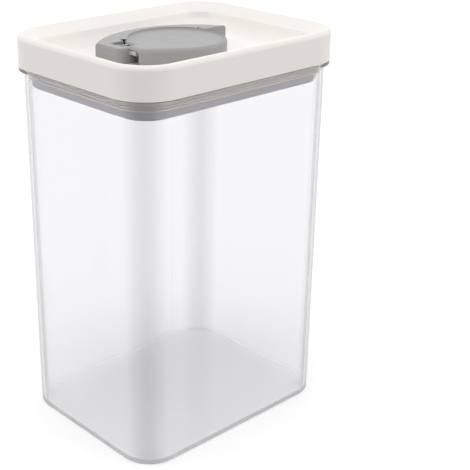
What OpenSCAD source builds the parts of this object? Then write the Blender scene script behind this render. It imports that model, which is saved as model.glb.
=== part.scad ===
// Clear storage box with an airtight lid. A round lever in the lid draws a plug up, which presses
// a soft ring against the lid and the box. Lever down is sealed, lever up is released.
// X runs along the long side, Y along the short side, Z up. Origin: bottom centre of the box.

/* [Container body] */
// Height from the base to the top of the flange
body_h = 211.1; // [120:0.1:320]
// Thickness of the side walls
body_wall = 2; // [1.4:0.1:3]
// Thickness of the base
base_t = 3; // [2:0.1:6]
// Radius of the edge between walls and base, outside
base_edge_r = 2.4; // [0.8:0.1:8]
// Width of the sloped edge between the walls' inside and the base
base_cove = 1; // [0.5:0.1:1.5]
// How far the flange at the mouth stands out from the wall
flange_reach = 2.9; // [1.5:0.1:4]
// Height of the flange where it meets the wall
flange_h = 4.1; // [2.4:0.1:6]
// Thickness of the flange at its outer edge
flange_lip = 1.6; // [0.6:0.1:2.2]

/* [Lid cover] */
// Length of the lid
lid_l = 150; // [140:0.5:220]
// Width of the lid
lid_w = 118.8; // [112:0.5:200]
// Height of the lid's side
lid_h = 17.6; // [17:0.1:22]
// Radius of the lid's upright corners
lid_corner_r = 22.7; // [20:0.1:28]
// Thickness of the lid's side wall and floor
lid_wall = 2; // [1.4:0.1:2.2]
// Radius of the soft outer edge on top of the rim
rim_edge_r = 2.8; // [1:0.1:4]
// Width of the sloping band inside the rim's crest
rim_band = 7.5; // [4:0.1:8]
// How far that band drops on its way in
rim_band_drop = 5; // [1:0.1:5.5]
// Height of the step at the band's inner edge
rim_step = 3.2; // [0.5:0.1:3.6]
// Width of that step
rim_step_w = 1.2; // [0.6:0.1:2]
// Depth of the lid's flat floor under the crest
floor_depth = 13.8; // [13:0.1:14]
// Gap between the lid and the flange it sits on
seat_gap = 0.3; // [0.2:0.05:0.5]

/* [Lever] */
// Diameter of the lever's round disc
disc_d = 56.8; // [50:0.1:58]
// Height of the lever's top above the lid's floor
lever_h = 9.5; // [9.3:0.1:10.6]
// Width of the rim left between the finger dish and the disc's edge
dish_rim = 1.7; // [1.4:0.1:10.4]
// Depth of the finger dish in its middle
dish_depth = 1.8; // [1.4:0.1:2]
// Depth of the dish at its rounded border
dish_border = 1.3; // [0.8:0.1:1.4]
// Radius of the lever's rounded top edge
lever_edge_r = 2.2; // [1.5:0.1:2.6]
// Thickness of the lever's walls and skin
lever_wall = 2; // [1.6:0.1:2.2]
// Angle the lever swings through from closed to open
lever_swing = 80; // [60:1:82]
// Length of the shoulder beside the hinge block
shoulder_l = 13.4; // [12:0.1:15]
// How far the shoulder reaches past the hinge pins' axis
shoulder_reach = 1.8; // [1.6:0.1:2.2]
// Radius of the shoulder's upright corner
shoulder_r = 5; // [4:0.1:6]
// Length of the notch in the shoulder that the near pin shows in
notch_l = 8.2; // [7:0.1:8.4]
// Radius of that notch's arched corner
notch_r = 2.9; // [2:0.1:3]
// Width of the finger relief under the lever's edge
grip_w = 20; // [12:0.5:28]
// Height of the finger relief
grip_h = 3.2; // [2:0.1:4]

/* [Hinge bracket] */
// How much larger the radius of the bracket's outer arc is than the disc's
bracket_out = 25.2; // [24.6:0.1:26]
// How far the middle of that arc lies in front of the disc's middle
bracket_back = 18.4; // [18:0.1:19]
// How far it lies towards the hinge
bracket_side = 3; // [2:0.1:3.5]
// How far the bracket's top lies under the lever's top
bracket_drop = 0.6; // [0.5:0.1:0.7]
// Gap under the lever's brim, which covers the bracket's inner edge
brim_gap = 0.2; // [0.15:0.05:0.25]
// Where the brim starts, as an angle round the disc from the lever's free end
brim_start = 22; // [20:1:30]
// Where the brim ends
brim_end = 148; // [140:1:149]
// Gap between the bracket and the lever's disc
disc_gap = 0.7; // [0.6:0.1:1.5]
// Distance from the hinge pins' axis to the bracket's hinge end
block_back = 8.6; // [8.2:0.1:10]
// Distance from the disc's middle to the near face of the bracket's pointed end
horn_face = 6.5; // [6:0.1:10]
// Thickness of the bracket's walls
bracket_wall = 2; // [1.6:0.1:2.1]
// Radius of the bracket's outer top edge
bracket_edge_r = 2; // [1:0.1:2.4]
// Radius of the block's small edges
block_edge_r = 1; // [0.5:0.1:1.2]
// Radius of the block's upright corner
block_corner_r = 2.6; // [1.3:0.1:3.5]
// Length of the open pocket between the hinge and the crescent
pocket_l = 3; // [2.6:0.1:5]

/* [Hinge and crank] */
// Gap between the disc and the hinge pins' axis
pivot_gap = 3.4; // [3.2:0.1:4.2]
// Height of the hinge pins' axis above the floor
pivot_h = 6; // [5.7:0.1:6.1]
// Diameter of the hinge pins
pin_d = 3; // [2:0.1:3.2]
// Length of the near pin that stands out of the block
pin_show = 5.4; // [3:0.1:6.4]
// Diameter of the crank bar
bar_d = 2; // [1.8:0.1:2.2]
// Distance of the crank bar from the pins' axis, which sets the plug's travel
crank_throw = 2.8; // [2.4:0.1:2.9]
// Wall left around pins and bars
eye_wall = 0.8; // [0.7:0.05:0.9]
// Width of the lift yoke
yoke_w = 2.6; // [2:0.1:3.2]
// Width of each of the lever's ears
ear_w = 1.8; // [1.4:0.1:2.2]
// Width of each lug on the bracket
lug_w = 1.5; // [1.2:0.1:1.9]

/* [Plug and seal] */
// Gap between the plug and the box's inner wall
plug_gap = 2.6; // [1.5:0.1:3.5]
// Depth of the plug under the seal ring
plug_h = 5.5; // [5.3:0.1:12]
// Thickness of the plug's shell
plug_wall = 2; // [1.4:0.1:2.4]
// Radius of the plug's lower edge
plug_edge_r = 2.6; // [1.5:0.1:2.8]
// Height of the seal ring
seal_h = 6.2; // [5.6:0.1:8]
// Height of the wiping lip round its foot
seal_lip_h = 1.2; // [0.8:0.1:2]
// How far that lip stands out from the ring
seal_lip = 0.9; // [0.5:0.1:1.4]
// Width of the seal ring
seal_w = 8; // [7:0.1:8.5]
// Gap between the seal ring and the wall, and under the liner
seal_gap = 0.3; // [0.2:0.05:0.5]
// Thickness of the liner frame
liner_t = 1.5; // [1.2:0.1:1.6]

/* [Screws and fits] */
// Diameter of the screw threads
screw_d = 2.2; // [2:0.1:2.6]
// Diameter of the screw heads
head_d = 4.2; // [3.6:0.1:4.6]
// Height of the screw heads
head_h = 1.4; // [1:0.1:1.6]
// Length of screw that bites in the bracket and the plug
screw_bite = 4; // [3:0.1:4.4]
// Length of screw that bites in the lid's liner bosses
liner_bite = 2.5; // [2:0.1:2.6]
// Wall of the screw bosses
boss_wall = 1.5; // [1:0.1:1.8]
// Diameter of the guide post
post_d = 6; // [5:0.1:7]
// Radial running clearance of round parts
run_gap = 0.1; // [0.05:0.01:0.15]
// Clearance between parts that swing or slide past each other
swing_gap = 0.35; // [0.3:0.05:0.4]

/* [Hidden] */
$fn = 72;

eps = 0.01;
arc_steps = 8;

// Insets are measured inwards from the lid's outline.
inset_wall = flange_reach;
inset_bore = inset_wall + body_wall;
inset_base = inset_bore + base_cove + base_edge_r;
inset_seal = inset_bore + seal_gap;
inset_seal_in = inset_seal + seal_w;
inset_plug = inset_bore + plug_gap;
inset_liner = lid_wall + seat_gap;
// Where the swept edges end and the flat middles begin
inset_core = lid_corner_r - 1;

// Heights
lid_z = body_h + seat_gap;
crest_z = lid_z + lid_h;
floor_z = crest_z - floor_depth;
floor_under = floor_z - lid_wall;
foot_z = crest_z - rim_band_drop - rim_step;
foot_inset = rim_edge_r + rim_band + rim_step_w;
seal_top = lid_z - seal_gap;
rim_z = seal_top - seal_h;
plug_z = rim_z - plug_h;
plug_floor = plug_z + plug_wall;
pivot_z = floor_z + pivot_h;
top_z = floor_z + lever_h;

bracket_top = top_z - bracket_drop;

// Hinge, along Y. The widths stack up from the near face of the block at y = 0.
disc_r = disc_d / 2;
dish_d = disc_d - 2 * dish_rim;
pivot_x = -disc_r - pivot_gap;
bar_x = pivot_x - crank_throw;
lug_r = pin_d / 2 + eye_wall;
bar_eye_r = bar_d / 2 + eye_wall;
ear_y = lug_w + swing_gap;
yoke_y = ear_y + ear_w + swing_gap;
far_ear_y = yoke_y + yoke_w + swing_gap;
far_lug_y = far_ear_y + ear_w + swing_gap;
hinge_end_y = far_lug_y + lug_w;
pocket_y = hinge_end_y + pocket_l;
block_x = pivot_x - lug_r - swing_gap;
block_end_x = pivot_x - block_back;
bracket_r = disc_r + bracket_out;
beyond = 2 * bracket_r;

// Shoulder of the lever: a corner arc, joined to the disc by a wall that touches both.
shoulder_x = pivot_x - shoulder_reach;
shoulder_c = [shoulder_x + shoulder_r, shoulder_r - shoulder_l];
shoulder_turn = acos((disc_r - shoulder_r) / norm(shoulder_c));
shoulder_a = atan2(shoulder_c[1], shoulder_c[0]) + shoulder_turn;
shoulder_tangent = norm(shoulder_c) * sin(shoulder_turn);
shoulder_depth = disc_r / 2.4;
// The flat walls lie this far inside the round ones, so that they cut them cleanly.
shoulder_root = 0.02;
shoulder_room = pivot_z + pin_d / 2 + swing_gap;

// Screws from below hold the bracket.
boss_d = screw_d + 2 * boss_wall;
boss_in = (bracket_wall + boss_d) / 2;
bracket_screw_xy = [[pivot_x, pocket_y + boss_in], [disc_r + disc_gap + boss_in, horn_face + boss_in]];
bracket_screw_l = lid_wall + screw_bite;

// Lift yoke
slot_play = 0.22 * crank_throw + run_gap;
bar_shift = crank_throw * (1 - cos(lever_swing));
window_x = [bar_x - bar_d / 2 - 2 * run_gap, bar_x + bar_shift + bar_d / 2 + 2 * run_gap];
yoke_x = [window_x[0] - eye_wall, window_x[1] + eye_wall];
yoke_top = pivot_z + bar_d / 2 + run_gap + eye_wall;
slot_x = [yoke_x[0] - swing_gap, yoke_x[1] + swing_gap];
yoke_foot_t = 1.8;
yoke_foot_l = 26;
yoke_foot_w = 6;
yoke_boss_d = head_d + 1.6;
yoke_boss_y = (yoke_foot_l - yoke_boss_d) / 2;
yoke_foot_top = floor_under - 2 * head_h - 2 * swing_gap;
yoke_mid = [(yoke_x[0] + yoke_x[1]) / 2, yoke_y + yoke_w / 2];
yoke_screw_l = yoke_foot_t + screw_bite;
block_hollow_top = yoke_top + swing_gap;
fit_gap = 0.15;

// Guide post and sleeve
sleeve_r = post_d / 2 + run_gap;
sleeve_wall = 1.5;
sleeve_top = rim_z + crank_throw;
post_z = plug_floor + 0.8;

// Liner screws sit inside the seal ring, on the corners' diagonals.
liner_in = inset_seal_in + head_d + 2.6;
liner_screw_inset = inset_seal_in + head_d / 2 + 0.8;
liner_screw_r = (lid_corner_r - liner_screw_inset) * cos(45);
liner_screw_xy = [lid_l / 2 - lid_corner_r + liner_screw_r, lid_w / 2 - lid_corner_r + liner_screw_r];
liner_top = lid_z + liner_t;
liner_screw_l = liner_t + liner_bite;

function arc(cx, cy, r, a0, a1, n = arc_steps) =
    [for (i = [0 : n]) let (a = a0 + (a1 - a0) * i / n) [cx + r * cos(a), cy + r * sin(a)]];

// Upper outer corner of a profile, rounded unless the radius is 0
function corner(x, z, r) = r > 0 ? arc(x - r, z - r, r, 0, 90) : [[x, z]];

// Height of the lid's floor at an inset, curving from the foot of the rim down to the flat.
function floor_at(inset) =
    floor_z + (foot_z - floor_z) * pow((inset_core - inset) / (inset_core - foot_inset), 2);

// Solid rounded block, inset from the lid's outline.
module block(inset, z0, z1) {
    l = lid_l - 2 * inset;
    w = lid_w - 2 * inset;
    r = lid_corner_r - inset;
    translate([0, 0, z0]) linear_extrude(z1 - z0) union() {
        if (r > 0) {
            square([l - 2 * r, w], center = true);
            square([l, w - 2 * r], center = true);
            for (x = [-1, 1], y = [-1, 1])
                translate([x * (l / 2 - r), y * (w / 2 - r)]) circle(r);
        } else {
            square([l, w], center = true);
        }
    }
}

// Carries a profile of [inset, height] points once round the lid's outline.
module around() {
    cx = lid_l / 2 - lid_corner_r;
    cy = lid_w / 2 - lid_corner_r;
    for (k = [0 : 3]) {
        sx = (k == 0 || k == 3) ? 1 : -1;
        sy = k < 2 ? 1 : -1;
        translate([sx * cx, sy * cy, 0]) rotate([0, 0, 90 * k])
            rotate_extrude(angle = 90) translate([lid_corner_r, 0]) mirror([1, 0]) children();
    }
    for (s = [0, 180]) {
        rotate([0, 0, s]) translate([cx + lid_corner_r, cy, 0]) rotate([90, 0, 0])
            linear_extrude(2 * cy) mirror([1, 0]) children();
        rotate([0, 0, s]) translate([cx, -cy - lid_corner_r, 0]) rotate([90, 0, -90])
            linear_extrude(2 * cx) mirror([1, 0]) children();
    }
}

module ring(inset_out, inset_in, z0, z1) {
    difference() {
        block(inset_out, z0, z1);
        block(inset_in, z0 - 1, z1 + 1);
    }
}

// Disc with a rounded top edge.
module puck(r, z0, z1, edge) {
    rotate_extrude($fn = 144)
        polygon(concat([[0, z0], [r, z0]], corner(r, z1, edge), [[0, z1]]));
}

// Dish: rounded border, then a shallow bowl.
module dish() {
    bowl_r = dish_d / 2 - dish_border;
    bowl = [for (i = [0 : arc_steps]) let (r = bowl_r * i / arc_steps)
        [r, top_z - dish_depth + (dish_depth - dish_border) * pow(i / arc_steps, 2)]];
    rotate_extrude($fn = 144) polygon(concat(
        bowl, arc(bowl_r, top_z, dish_border, -90, 0), [[dish_d / 2, crest_z], [0, crest_z]]
    ));
}

module box(x, y, z) {
    translate([x[0], y[0], z[0]]) cube([x[1] - x[0], y[1] - y[0], z[1] - z[0]]);
}

// Cylinder along Y, from y0 to y1.
module cross(x, z, r, y0, y1) {
    translate([x, y1, z]) rotate([90, 0, 0]) cylinder(r = r, h = y1 - y0);
}

// Pan-head screw pointing up, head below z.
module screw_up(x, y, z, l) {
    translate([x, y, z - head_h]) cylinder(d = head_d, h = head_h);
    translate([x, y, z - eps]) cylinder(d = screw_d, h = l);
}

// Pan-head screw pointing down, head above z.
module screw_down(x, y, z, l) {
    translate([x, y, z]) cylinder(d = head_d, h = head_h);
    translate([x, y, z - l]) cylinder(d = screw_d, h = l + eps);
}

module container_body() {
    color([0.86, 0.9, 0.93, 0.35]) {
        around() polygon(concat(
            [[0, body_h], [0, body_h - flange_lip], [inset_wall, body_h - flange_h]],
            [for (p = arc(inset_wall + base_edge_r, base_edge_r, base_edge_r, 180, 270)) p],
            [[inset_base, 0], [inset_base, base_t], [inset_bore + base_cove, base_t]],
            [[inset_bore, base_t + base_cove], [inset_bore, body_h]]
        ));
        block(inset_base, 0, base_t);
    }
}

module lid_shell() {
    curve = [for (i = [0 : arc_steps])
        let (d = foot_inset + (inset_core - foot_inset) * i / arc_steps) [d, floor_at(d)]];
    under = [for (i = [arc_steps : -1 : 1]) [curve[i][0], curve[i][1] - lid_wall]];
    around() polygon(concat(
        [[0, lid_z]], arc(rim_edge_r, crest_z - rim_edge_r, rim_edge_r, 180, 90),
        [[rim_edge_r + rim_band, crest_z - rim_band_drop]], curve, under,
        [[foot_inset - lid_wall, foot_z - lid_wall]],
        [[rim_edge_r + rim_band - lid_wall, crest_z - rim_band_drop - lid_wall]],
        [[lid_wall, crest_z - 2 * lid_wall], [lid_wall, lid_z]]
    ));
    block(inset_core, floor_under, floor_z);
}

module lid_cover() {
    color([0.93, 0.92, 0.9]) {
        difference() {
            union() {
                lid_shell();
                for (x = [-1, 1], y = [-1, 1])
                    translate([x * liner_screw_xy[0], y * liner_screw_xy[1], liner_top])
                        cylinder(d = boss_d, h = floor_at(liner_screw_inset) - lid_wall / 2 - liner_top);
                translate([0, 0, post_z]) cylinder(d = post_d, h = floor_under + 1 - post_z);
            }
            for (x = [-1, 1], y = [-1, 1])
                translate([x * liner_screw_xy[0], y * liner_screw_xy[1], liner_top - 1])
                    cylinder(d = screw_d, h = liner_screw_l - liner_t + 1);
            box(slot_x, [yoke_y - swing_gap, yoke_y + yoke_w + swing_gap], [floor_under - 1, crest_z]);
            for (p = bracket_screw_xy) translate([p[0], p[1], floor_under - 1])
                cylinder(d = screw_d + 2 * run_gap, h = lid_wall + 2);
        }
    }
}

module liner_frame() {
    color([0.93, 0.92, 0.9]) difference() {
        ring(inset_liner, liner_in, lid_z, liner_top);
        for (x = [-1, 1], y = [-1, 1])
            translate([x * liner_screw_xy[0], y * liner_screw_xy[1], lid_z - 1])
                cylinder(d = screw_d + 2 * run_gap, h = liner_t + 2);
    }
}

module liner_screws() {
    color("silver") for (x = [-1, 1], y = [-1, 1])
        screw_up(x * liner_screw_xy[0], y * liner_screw_xy[1], lid_z, liner_screw_l - 0.2);
}

// Crescent round the far side of the disc, inset all round.
module crescent(inset, z1, edge) {
    inner_r = disc_r + disc_gap + inset;
    difference() {
        translate([-bracket_side, -bracket_back, 0])
            puck(bracket_r - inset, floor_z, z1, edge);
        rotate_extrude($fn = 144) polygon(concat(
            [[0, floor_z - 1], [inner_r, floor_z - 1]],
            arc(inner_r + block_edge_r, z1 - block_edge_r, block_edge_r, 180, 90),
            [[inner_r + block_edge_r, z1 + 1], [0, z1 + 1]]
        ));
        box([-beyond, block_end_x + inset], [-beyond, beyond], [floor_z - 1, z1 + 1]);
        box([-beyond, 0], [-beyond, pocket_y + inset], [floor_z - 1, z1 + 1]);
        box([-1, beyond], [-beyond, horn_face + inset], [floor_z - 1, z1 + 1]);
    }
}

// Block at the hinge end, its top edges and its outer upright corner rounded.
module hinge_end() {
    r = block_edge_r;
    z = bracket_top - r;
    intersection() {
        translate([0, 0, floor_z]) linear_extrude(lever_h)
            polygon(concat(
                [[block_end_x, pocket_y + 2], [block_x + 1, pocket_y + 2], [block_x + 1, 0]],
                arc(block_end_x + block_corner_r, block_corner_r, block_corner_r, 270, 180)
            ));
        translate([0, pocket_y + 1, 0]) rotate([90, 0, 0]) linear_extrude(pocket_y + 1)
            polygon(concat(
                [[block_end_x, floor_z], [block_x, floor_z]],
                arc(block_x - r, z, r, 0, 90), arc(block_end_x + r, z, r, 90, 180)
            ));
        rotate([90, 0, 90]) translate([0, 0, -beyond]) linear_extrude(beyond)
            polygon(concat(
                [[pocket_y + 2, floor_z], [pocket_y + 2, bracket_top]], arc(r, z, r, 90, 180),
                [[0, floor_z]]
            ));
    }
}

// Lug that carries a hinge pin, from y0 on.
module lug(y0) {
    cross(pivot_x, pivot_z, lug_r, y0, y0 + lug_w);
    box([block_x - 1, pivot_x], [y0, y0 + lug_w], [floor_z, pivot_z + lug_r]);
    box([block_x - 1, pivot_x + lug_r], [y0, y0 + lug_w], [floor_z, pivot_z]);
}

module hinge_block() {
    color([0.66, 0.66, 0.66]) difference() {
        union() {
            difference() {
                crescent(0, bracket_top, bracket_edge_r);
                crescent(bracket_wall, bracket_top - bracket_wall, block_edge_r);
            }
            hinge_end();
            lug(0);
            lug(far_lug_y);
            for (p = bracket_screw_xy) translate([p[0], p[1], floor_z])
                cylinder(d = boss_d, h = lever_h - bracket_drop - bracket_wall / 2);
        }
        box([block_end_x + bracket_wall, block_x + 1], [lug_w, far_lug_y],
            [floor_z - 1, block_hollow_top]);
        cross(pivot_x, pivot_z, pin_d / 2, -1, hinge_end_y + 1);
        for (p = bracket_screw_xy) translate([p[0], p[1], floor_z - 1])
            cylinder(d = screw_d, h = bracket_screw_l - lid_wall + 1);
    }
}

module hinge_block_screws() {
    color("silver") for (p = bracket_screw_xy)
        screw_up(p[0], p[1], floor_under, bracket_screw_l - 0.2);
}

module hinge_pins() {
    color([0.7, 0.7, 0.7]) {
        cross(pivot_x, pivot_z, pin_d / 2, -pin_show, ear_y + ear_w);
        cross(pivot_x, pivot_z, pin_d / 2, far_ear_y, hinge_end_y);
    }
}

// Ear of the lever with the end of the crank, from y0 on.
module ear(y0) {
    y = [y0, y0 + ear_w];
    cross(pivot_x, pivot_z, lug_r, y[0], y[1]);
    cross(bar_x, pivot_z, bar_eye_r, y[0], y[1]);
    box([bar_x, pivot_x], y, [pivot_z - bar_eye_r, pivot_z + bar_eye_r]);
    box([pivot_x, lever_wall - disc_r], y, [pivot_z - lug_r, pivot_z + lug_r]);
}

// Wall with a rounded top edge that faces along direction a, from a point near its middle on.
module shoulder_strip(p, a, reach, y, z, edge) {
    translate([p[0], p[1], 0]) rotate([0, 0, a]) translate([reach, y[1], 0]) rotate([90, 0, 0])
        linear_extrude(y[1] - y[0]) polygon(concat(
            [[-shoulder_depth, z[0]], [0, z[0]]], corner(0, z[1], edge), [[-shoulder_depth, z[1]]]
        ));
}

// Shoulder beside the hinge block, inset all round. It ends at y1.
module shoulder(inset, z0, z1, edge, y1) {
    in = inset + shoulder_root;
    over = in / 8;
    step = [shoulder_root, -shoulder_root];
    z = [z0, z1] + step;
    translate([shoulder_c[0], shoulder_c[1], 0]) puck(shoulder_r - inset, z0, z1, edge);
    shoulder_strip([0, 0], shoulder_a, disc_r - in, [-shoulder_tangent - over, over], z, edge);
    shoulder_strip(shoulder_c, 180, shoulder_r - in, [shoulder_c[1] - y1, over], z + step, edge);
}

// Brim round the disc's far side, over the bracket's inner edge. It starts under the dish's border.
module brim() {
    r = [dish_d / 2 - dish_border, disc_r + disc_gap + block_edge_r + brim_gap];
    z = [bracket_top + brim_gap, top_z];
    rotate([0, 0, brim_start]) rotate_extrude(angle = brim_end - brim_start, $fn = 144)
        polygon([[r[0], z[0]], [r[1], z[0]], [r[1], z[1]], [r[0], z[1]]]);
}

// Notch in the shoulder's wall, open towards the block, with one arched corner
module notch() {
    x = [shoulder_x - 1, pivot_x + lug_r];
    arch_y = notch_r - notch_l;
    arch_z = shoulder_room - notch_r;
    box(x, [arch_y, 1], [floor_z - 1, shoulder_room]);
    box(x, [-notch_l, 1], [floor_z - 1, arch_z]);
    translate([x[0], arch_y, arch_z]) rotate([0, 90, 0]) cylinder(r = notch_r, h = x[1] - x[0]);
}

module lever() {
    under_z = floor_z + swing_gap;
    room_z = top_z - dish_depth - lever_wall;
    color([0.66, 0.66, 0.66]) difference() {
        union() {
            difference() {
                union() {
                    puck(disc_r, under_z, top_z, lever_edge_r);
                    shoulder(0, under_z, top_z, lever_edge_r, -swing_gap);
                    brim();
                }
                dish();
                translate([0, 0, floor_z - 1])
                    cylinder(r = disc_r - lever_wall, h = room_z - floor_z + 1, $fn = 144);
                difference() {
                    shoulder(lever_wall, floor_z - 1, shoulder_room, 0, 0);
                    translate([0, 0, floor_z - 2])
                        cylinder(r = disc_r - lever_wall, h = lever_h + lid_h, $fn = 144);
                }
                notch();
                box([disc_r - 3 * lever_wall, disc_d], [-grip_w / 2, grip_w / 2],
                    [floor_z - 1, under_z + grip_h]);
            }
            ear(ear_y);
            ear(far_ear_y);
            cross(bar_x, pivot_z, bar_d / 2, ear_y, far_ear_y + ear_w);
        }
        cross(pivot_x, pivot_z, pin_d / 2 + run_gap, ear_y - 1, ear_y + ear_w + 1);
        cross(pivot_x, pivot_z, pin_d / 2 + run_gap, far_ear_y - 1, hinge_end_y);
        cross(pivot_x, pivot_z, pin_d / 2 + swing_gap, -notch_l, 0);
    }
}

module lift_yoke() {
    foot_z0 = yoke_foot_top - yoke_foot_t;
    color([0.62, 0.61, 0.63]) difference() {
        union() {
            box([yoke_mid[0] - yoke_foot_w / 2, yoke_mid[0] + yoke_foot_w / 2],
                [yoke_mid[1] - yoke_foot_l / 2, yoke_mid[1] + yoke_foot_l / 2], [foot_z0, yoke_foot_top]);
            box(yoke_x, [yoke_y, yoke_y + yoke_w], [foot_z0, yoke_top]);
        }
        box(window_x, [yoke_y - 1, yoke_y + yoke_w + 1],
            [pivot_z - bar_d / 2 - slot_play, pivot_z + bar_d / 2 + run_gap]);
        for (s = [-1, 1])
            translate([yoke_mid[0], yoke_mid[1] + s * yoke_boss_y, foot_z0 - 1])
                cylinder(d = screw_d + 2 * run_gap, h = yoke_foot_t + 2);
    }
}

module yoke_screws() {
    color("silver") for (s = [-1, 1])
        screw_down(yoke_mid[0], yoke_mid[1] + s * yoke_boss_y, yoke_foot_top, yoke_screw_l - 0.2);
}

module seal_ring() {
    lip_r = seal_lip_h / 2;
    body = inset_seal + seal_lip;
    color([0.75, 0.72, 0.69]) around() polygon(concat(
        [[inset_seal_in, rim_z]],
        arc(inset_seal + lip_r, rim_z + lip_r, lip_r, 270, 90),
        [[body, rim_z + seal_lip_h]],
        arc(body + seal_lip_h, seal_top - seal_lip_h, seal_lip_h, 180, 90),
        [[inset_seal_in, seal_top]]
    ));
}

module plug_shell() {
    upstand = [inset_seal_in + fit_gap, inset_seal_in + fit_gap + 1.4];
    upstand_top = lid_z - head_h - swing_gap;
    color([0.62, 0.61, 0.63]) {
        around() polygon(concat(
            [[inset_plug, rim_z]],
            arc(inset_plug + plug_edge_r, plug_z + plug_edge_r, plug_edge_r, 180, 270),
            [[inset_core, plug_z], [inset_core, plug_floor]],
            [[inset_plug + plug_edge_r, plug_floor]],
            [[inset_plug + plug_wall, plug_z + plug_edge_r], [inset_plug + plug_wall, rim_z - plug_wall]],
            [[upstand[1], rim_z - plug_wall], [upstand[1], upstand_top]],
            [[upstand[0], upstand_top], [upstand[0], rim_z]]
        ));
        difference() {
            union() {
                block(inset_core, plug_z, plug_floor);
                translate([0, 0, plug_floor - eps])
                    cylinder(r = sleeve_r + sleeve_wall, h = sleeve_top - plug_floor);
                for (s = [-1, 1])
                    translate([yoke_mid[0], yoke_mid[1] + s * yoke_boss_y, plug_floor - eps])
                        cylinder(d = yoke_boss_d, h = yoke_foot_top - yoke_foot_t - plug_floor + eps);
            }
            translate([0, 0, plug_floor]) cylinder(r = sleeve_r, h = sleeve_top + 1 - plug_floor);
            for (s = [-1, 1])
                translate([yoke_mid[0], yoke_mid[1] + s * yoke_boss_y, yoke_foot_top - yoke_screw_l])
                    cylinder(d = screw_d, h = yoke_screw_l);
        }
    }
}

container_body();
lid_cover();
liner_frame();
liner_screws();
hinge_block();
hinge_block_screws();
hinge_pins();
lever();
lift_yoke();
yoke_screws();
seal_ring();
plug_shell();
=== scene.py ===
"""Clear food container with a white lid and a gray flip lever: its looks, light and camera."""
import math

import bpy
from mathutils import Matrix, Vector

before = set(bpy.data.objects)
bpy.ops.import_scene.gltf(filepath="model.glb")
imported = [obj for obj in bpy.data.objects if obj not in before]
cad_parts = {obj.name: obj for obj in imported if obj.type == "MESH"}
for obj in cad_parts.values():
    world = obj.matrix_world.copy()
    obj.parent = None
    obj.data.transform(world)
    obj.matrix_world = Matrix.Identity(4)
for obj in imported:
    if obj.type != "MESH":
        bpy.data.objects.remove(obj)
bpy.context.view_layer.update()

MM = 0.001

# Camera, solved from the photograph: where it stands, what it looks at and how it is framed
CAMERA_AT = Vector((-387.2, -434.8, 352.4)) * MM
CAMERA_TARGET = Vector((0, 0, 103.2)) * MM
LENS_MM = 81.54
SENSOR_MM = 36
SHIFT_X = 0.126
SHIFT_Y = 0.0106

# Where the painted shade of the box's corners begins on each side of the middle planes, and how
# softly it does
CORNER_FROM_X = 60 * MM
CORNER_FROM_Y = 44.5 * MM
CORNER_FADE = 7 * MM

# Where most values of a noise lie, for its spread onto another range and for a blend of colours
NOISE_LOW, NOISE_HIGH = 0.3, 0.7
TINT_LOW, TINT_HIGH = 0.35, 0.65

# The clear plastic, in 8-bit sRGB: seen square on, its painted shade seen edge on, its painted
# shade in the corners, and what it leaves of a lamp's light. The painted edge shade comes in
# between two values of
# Facing, which the blend bends.
CLEAR_FACE = (245, 245, 246)
CLEAR_EDGE_SHADE = (150, 152, 156)
CLEAR_CORNER_SHADE = (230, 230, 232)
CLEAR_SHADE = (246, 246, 246)
EDGE_BLEND = 0.5
EDGE_FROM, EDGE_TO = 0.5, 0.9
CLEAR_IOR = 1.46

# Its highest roughness over most of the walls, and the features per metre of that haze and of
# the slow waves of the moulded surface, with their bump's strength and depth
HAZE_ROUGH = 0.02
HAZE_PER_M = 60
FLOW_PER_M = 14
FLOW_STRENGTH = 0.04
FLOW_DEPTH = 0.6 * MM

# The box's frosted underside: the height at which the frost ends, and how rough it is
FROST_TOP = 0.6 * MM
FROST_ROUGH = 0.6

# Opaque plastics and the screws, in 8-bit sRGB
LID_WHITE = (244, 240, 235)
LEVER_GRAY = (162, 162, 163)
PLUG_GRAY = (181, 177, 184)
SEAL_BEIGE = (222, 214, 206)
PIN_GRAY = (206, 206, 207)
SCREW_GRAY = (190, 190, 192)

# Moulded plastic: features per metre of its slow drift of colour and of its uneven gloss, how
# far the roughness goes up and down, and the strength of the grain's bump
DRIFT_PER_M = 28
GLOSS_PER_M = 140
GLOSS_SPREAD = 0.05
GRAIN_STRENGTH = 0.4

# Drawn steel: features per metre, their scale along each axis, the darkest one as a share of
# the colour, the range of roughness, and the bump's strength and depth
STEEL_PER_M = 2500
STEEL_STRETCH = (0.15, 0.15, 1.0)
STEEL_DARK = 0.86
STEEL_ROUGH = (0.24, 0.38)
STEEL_BUMP = 0.3
STEEL_DEPTH = 0.02 * MM

# Floor in metres: its side and how far it lies below the base. Its colour is linear, and the
# lift is the light added where it is seen, which makes it white there
FLOOR_SIZE = 6.0
FLOOR_DROP = 0.0002
FLOOR_WHITE = 0.62
FLOOR_LIFT = 0.43

# Strength of the surroundings at and below the horizon, and straight overhead
HORIZON_LIGHT = 0.22
ZENITH_LIGHT = 1.05

# Soft far lamps: the way each shines, how wide it looks in degrees, and its strength
LAMPS = {
    "overhead": ((0.12, 0.12, -1), 24, 0.48),
    "left": ((1, -0.8, -0.4), 50, 0.66),
    "right": ((-0.8, 1, -0.4), 50, 0.66),
    "rear": ((-1, -1, -1.1), 30, 0.22),
}


def new_material(name):
    """A material with a node tree, its Principled shader and a coordinate node."""
    mat = bpy.data.materials.new(name)
    mat.use_nodes = True
    tree = mat.node_tree
    shader = tree.nodes["Principled BSDF"]
    coords = tree.nodes.new("ShaderNodeTexCoord")
    return mat, tree, shader, coords.outputs["Object"]


def noise(tree, where, scale, detail):
    """Noise over the object's own coordinates, scale in features per metre."""
    node = tree.nodes.new("ShaderNodeTexNoise")
    node.inputs["Scale"].default_value = scale
    node.inputs["Detail"].default_value = detail
    tree.links.new(where, node.inputs["Vector"])
    return node.outputs["Fac"]


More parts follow.
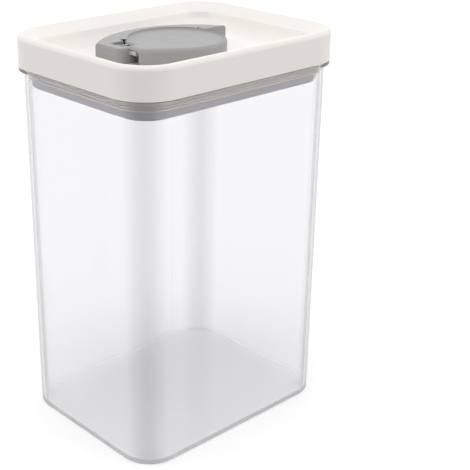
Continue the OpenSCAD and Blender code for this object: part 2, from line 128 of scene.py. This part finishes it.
def calc(tree, operation, *terms):
    """The result of a Math node. Each term is a number or a socket."""
    node = tree.nodes.new("ShaderNodeMath")
    node.operation = operation
    for socket, term in zip(node.inputs, terms):
        if isinstance(term, (int, float)):
            socket.default_value = term
        else:
            tree.links.new(term, socket)
    return node.outputs["Value"]


def spread(tree, fac, low, high):
    """Maps a noise factor's middle range onto low to high."""
    node = tree.nodes.new("ShaderNodeMapRange")
    node.inputs["From Min"].default_value = NOISE_LOW
    node.inputs["From Max"].default_value = NOISE_HIGH
    node.inputs["To Min"].default_value = low
    node.inputs["To Max"].default_value = high
    tree.links.new(fac, node.inputs["Value"])
    return node.outputs["Result"]


def tinted(tree, fac, colour_a, colour_b):
    """Blends two close colours by a noise factor."""
    node = tree.nodes.new("ShaderNodeValToRGB")
    ends = node.color_ramp.elements
    ends[0].position, ends[1].position = TINT_LOW, TINT_HIGH
    ends[0].color = (*colour_a, 1)
    ends[1].color = (*colour_b, 1)
    tree.links.new(fac, node.inputs["Fac"])
    return node.outputs["Color"]


def bumped(tree, shader, height, strength, distance):
    """Feeds a height into the shader's normal. distance is in metres."""
    node = tree.nodes.new("ShaderNodeBump")
    node.inputs["Strength"].default_value = strength
    node.inputs["Distance"].default_value = distance
    tree.links.new(height, node.inputs["Height"])
    tree.links.new(node.outputs["Normal"], shader.inputs["Normal"])


def srgb(*levels):
    """Linear colour from 8-bit sRGB levels."""
    def linear(c):
        c /= 255
        return c / 12.92 if c <= 0.04045 else ((c + 0.055) / 1.055) ** 2.4
    return tuple(linear(c) for c in levels)


def moulded(name, levels, vary, rough, grain_mm, depth_mm, **sockets):
    """Moulded plastic: slow colour drift, uneven gloss and a fine spark-eroded grain.

    The colour is in 8-bit sRGB levels, and vary is how much darker it gets. sockets are the
    shader's other sockets, with _ for a space.
    """
    mat, tree, shader, where = new_material(name)
    colour = srgb(*levels)
    drift = noise(tree, where, DRIFT_PER_M, detail=2)
    darker = tuple(c * (1 - vary) for c in colour)
    tree.links.new(tinted(tree, drift, darker, colour), shader.inputs["Base Color"])
    gloss = noise(tree, where, GLOSS_PER_M, detail=4)
    uneven = spread(tree, gloss, rough - GLOSS_SPREAD, rough + GLOSS_SPREAD)
    tree.links.new(uneven, shader.inputs["Roughness"])
    grain = noise(tree, where, 1 / (grain_mm * MM), detail=2)
    bumped(tree, shader, grain, GRAIN_STRENGTH, depth_mm * MM)
    for socket, value in sockets.items():
        shader.inputs[socket.replace("_", " ")].default_value = value
    return mat


def used(sockets, name):
    """The socket of that name that a mix node uses for its kind of data."""
    return next(s for s in sockets if s.name == name and s.enabled)


def painted_corner_shade(tree, where):
    """Where the corners get painted shade: 1 in the box's rounded corners, far from both middle
    planes, and 0 elsewhere.
    """
    parts = tree.nodes.new("ShaderNodeSeparateXYZ")
    tree.links.new(where, parts.inputs["Vector"])
    masks = []
    for axis, start in (("X", CORNER_FROM_X), ("Y", CORNER_FROM_Y)):
        ramp = tree.nodes.new("ShaderNodeMapRange")
        ramp.interpolation_type = "SMOOTHSTEP"
        ramp.inputs["From Min"].default_value = start - CORNER_FADE
        ramp.inputs["From Max"].default_value = start + CORNER_FADE
        away = calc(tree, "ABSOLUTE", parts.outputs[axis])
        tree.links.new(away, ramp.inputs["Value"])
        masks.append(ramp.outputs["Result"])
    return calc(tree, "MULTIPLY", *masks)


def underside_frost(tree, where, rough):
    """That roughness on the underside, fading to 0 a little above it."""
    parts = tree.nodes.new("ShaderNodeSeparateXYZ")
    tree.links.new(where, parts.inputs["Vector"])
    fade = tree.nodes.new("ShaderNodeMapRange")
    fade.inputs["From Min"].default_value = 0
    fade.inputs["From Max"].default_value = FROST_TOP
    fade.inputs["To Min"].default_value = rough
    fade.inputs["To Max"].default_value = 0
    tree.links.new(parts.outputs["Z"], fade.inputs["Value"])
    return fade.outputs["Result"]


def painted_edge_shade(tree):
    """Painted shade: nearly clear square on and gray at a grazing angle, on the outside only.

    Inside the plastic the tint would darken every internal reflection.
    """
    edge = tree.nodes.new("ShaderNodeLayerWeight")
    edge.inputs["Blend"].default_value = EDGE_BLEND
    side = tree.nodes.new("ShaderNodeNewGeometry")
    outside = calc(tree, "SUBTRACT", 1, side.outputs["Backfacing"])
    tint = tree.nodes.new("ShaderNodeValToRGB")
    ends = tint.color_ramp.elements
    ends[0].position, ends[1].position = EDGE_FROM, EDGE_TO
    ends[0].color = (*srgb(*CLEAR_FACE), 1)
    ends[1].color = (*srgb(*CLEAR_EDGE_SHADE), 1)
    tree.links.new(calc(tree, "MULTIPLY", edge.outputs["Facing"], outside), tint.inputs["Fac"])
    return tint.outputs["Color"]


def clear_plastic():
    """Polished clear plastic, with painted gray shade in its corners and where it is seen edge
    on, frosted underneath.
    """
    mat, tree, shader, where = new_material("clear_plastic")
    # Painted shade: the corners are tinted gray by their place on the box
    corner_shading = tree.nodes.new("ShaderNodeMix")
    corner_shading.data_type = "RGBA"
    corner_shading.blend_type = "MULTIPLY"
    used(corner_shading.inputs, "B").default_value = (*srgb(*CLEAR_CORNER_SHADE), 1)
    tree.links.new(painted_corner_shade(tree, where), used(corner_shading.inputs, "Factor"))
    # Painted shade: the walls turn gray where they are seen at a grazing angle
    tree.links.new(painted_edge_shade(tree), used(corner_shading.inputs, "A"))
    tree.links.new(used(corner_shading.outputs, "Result"), shader.inputs["Base Color"])
    shader.inputs["Transmission Weight"].default_value = 1.0
    shader.inputs["IOR"].default_value = CLEAR_IOR

    haze = spread(tree, noise(tree, where, HAZE_PER_M, detail=3), 0.0, HAZE_ROUGH)
    rough = calc(tree, "MAXIMUM", haze, underside_frost(tree, where, FROST_ROUGH))
    tree.links.new(rough, shader.inputs["Roughness"])
    flow = noise(tree, where, FLOW_PER_M, detail=1)
    bumped(tree, shader, flow, FLOW_STRENGTH, FLOW_DEPTH)

    # A lamp's light passes straight through
    path = tree.nodes.new("ShaderNodeLightPath")
    through = tree.nodes.new("ShaderNodeBsdfTransparent")
    through.inputs["Color"].default_value = (*srgb(*CLEAR_SHADE), 1)
    mixed = tree.nodes.new("ShaderNodeMixShader")
    tree.links.new(path.outputs["Is Shadow Ray"], mixed.inputs["Fac"])
    tree.links.new(shader.outputs["BSDF"], mixed.inputs[1])
    tree.links.new(through.outputs["BSDF"], mixed.inputs[2])
    tree.links.new(mixed.outputs["Shader"], tree.nodes["Material Output"].inputs["Surface"])
    return mat


def steel(name, levels):
    """Drawn steel: fine level lines and a little uneven gloss."""
    mat, tree, shader, where = new_material(name)
    colour = srgb(*levels)
    stretch = tree.nodes.new("ShaderNodeMapping")
    stretch.inputs["Scale"].default_value = STEEL_STRETCH
    tree.links.new(where, stretch.inputs["Vector"])
    lines = noise(tree, stretch.outputs["Vector"], STEEL_PER_M, detail=2)
    darker = tuple(c * STEEL_DARK for c in colour)
    tree.links.new(tinted(tree, lines, darker, colour), shader.inputs["Base Color"])
    tree.links.new(spread(tree, lines, *STEEL_ROUGH), shader.inputs["Roughness"])
    shader.inputs["Metallic"].default_value = 1.0
    bumped(tree, shader, lines, STEEL_BUMP, STEEL_DEPTH)
    return mat


def dress():
    """Every CAD node's finish."""
    white = moulded("lid_white", LID_WHITE, vary=0.015, rough=0.36, grain_mm=0.5, depth_mm=0.01)
    gray = moulded("lever_gray", LEVER_GRAY, vary=0.03, rough=0.38, grain_mm=0.35,
                   depth_mm=0.012, Specular_IOR_Level=0.2)
    plug = moulded("plug_gray", PLUG_GRAY, vary=0.03, rough=0.42, grain_mm=0.4, depth_mm=0.015)
    rubber = moulded("seal_rubber", SEAL_BEIGE, vary=0.03, rough=0.5, grain_mm=0.3,
                     depth_mm=0.012, Sheen_Weight=0.1)
    pins = moulded("pin_gray", PIN_GRAY, vary=0.03, rough=0.3, grain_mm=0.4, depth_mm=0.01)
    screws = steel("screw_steel", SCREW_GRAY)
    finish = {
        "container_body": clear_plastic(),
        "lid_cover": white,
        "liner_frame": white,
        "liner_screws": screws,
        "hinge_block": gray,
        "hinge_block_screws": screws,
        "hinge_pins": pins,
        "lever": gray,
        "lift_yoke": plug,
        "yoke_screws": screws,
        "seal_ring": rubber,
        "plug_shell": plug,
    }
    for node, mat in finish.items():
        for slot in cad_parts[node].material_slots:
            slot.material = mat


def seen_directly(tree):
    """1 for rays from the camera, a reflection or a refraction, and 0 for diffuse light."""
    path = tree.nodes.new("ShaderNodeLightPath")
    total = path.outputs["Is Camera Ray"]
    for ray in ("Is Glossy Ray", "Is Transmission Ray"):
        total = calc(tree, "MAXIMUM", total, path.outputs[ray])
    return total


def make_floor():
    """Plain pale floor, lifted to white where it is seen, that keeps the object's shadow."""
    half = FLOOR_SIZE / 2
    mesh = bpy.data.meshes.new("floor")
    corners = [(-half, -half), (half, -half), (half, half), (-half, half)]
    mesh.from_pydata([(x, y, -FLOOR_DROP) for x, y in corners], [], [(0, 1, 2, 3)])
    floor = bpy.data.objects.new("floor", mesh)
    bpy.context.scene.collection.objects.link(floor)
    mat, tree, shader, _ = new_material("floor_white")
    shader.inputs["Base Color"].default_value = (FLOOR_WHITE, FLOOR_WHITE, FLOOR_WHITE, 1)
    shader.inputs["Roughness"].default_value = 1.0
    shader.inputs["Specular IOR Level"].default_value = 0.0
    shader.inputs["Emission Color"].default_value = (1, 1, 1, 1)
    lift = calc(tree, "MULTIPLY", seen_directly(tree), FLOOR_LIFT)
    tree.links.new(lift, shader.inputs["Emission Strength"])
    mesh.materials.append(mat)


def make_world():
    """Soft surroundings, brighter overhead, that look white where they are seen."""
    world = bpy.data.worlds.new("studio")
    bpy.context.scene.world = world
    world.use_nodes = True
    tree = world.node_tree
    where = tree.nodes.new("ShaderNodeTexCoord")
    parts = tree.nodes.new("ShaderNodeSeparateXYZ")
    tree.links.new(where.outputs["Generated"], parts.inputs["Vector"])
    rise = tree.nodes.new("ShaderNodeMapRange")
    rise.inputs["To Min"].default_value = HORIZON_LIGHT
    rise.inputs["To Max"].default_value = ZENITH_LIGHT
    tree.links.new(parts.outputs["Z"], rise.inputs["Value"])
    light = tree.nodes["Background"]
    light.inputs["Color"].default_value = (1, 1, 1, 1)
    tree.links.new(rise.outputs["Result"], light.inputs["Strength"])
    seen = tree.nodes.new("ShaderNodeBackground")
    seen.inputs["Color"].default_value = (1, 1, 1, 1)
    seen.inputs["Strength"].default_value = 1.0
    mixed = tree.nodes.new("ShaderNodeMixShader")
    tree.links.new(seen_directly(tree), mixed.inputs["Fac"])
    tree.links.new(light.outputs["Background"], mixed.inputs[1])
    tree.links.new(seen.outputs["Background"], mixed.inputs[2])
    tree.links.new(mixed.outputs["Shader"], tree.nodes["World Output"].inputs["Surface"])


def sun(name, towards, spread_deg, strength):
    """Soft far lamp that shines along a direction."""
    data = bpy.data.lights.new(name, "SUN")
    data.angle = math.radians(spread_deg)
    data.energy = strength
    lamp = bpy.data.objects.new(name, data)
    lamp.rotation_euler = Vector(towards).to_track_quat("-Z", "Y").to_euler()
    bpy.context.scene.collection.objects.link(lamp)


def make_camera():
    """The photograph's viewpoint."""
    data = bpy.data.cameras.new("camera")
    data.lens = LENS_MM
    data.sensor_width = SENSOR_MM
    data.shift_x = SHIFT_X
    data.shift_y = SHIFT_Y
    camera = bpy.data.objects.new("camera", data)
    camera.location = CAMERA_AT
    camera.rotation_euler = (CAMERA_TARGET - CAMERA_AT).to_track_quat("-Z", "Y").to_euler()
    bpy.context.scene.collection.objects.link(camera)
    bpy.context.scene.camera = camera


make_camera()
dress()
make_floor()
make_world()
for lamp_name, lamp in LAMPS.items():
    sun(lamp_name, *lamp)

bpy.context.scene.view_settings.view_transform = "Standard"
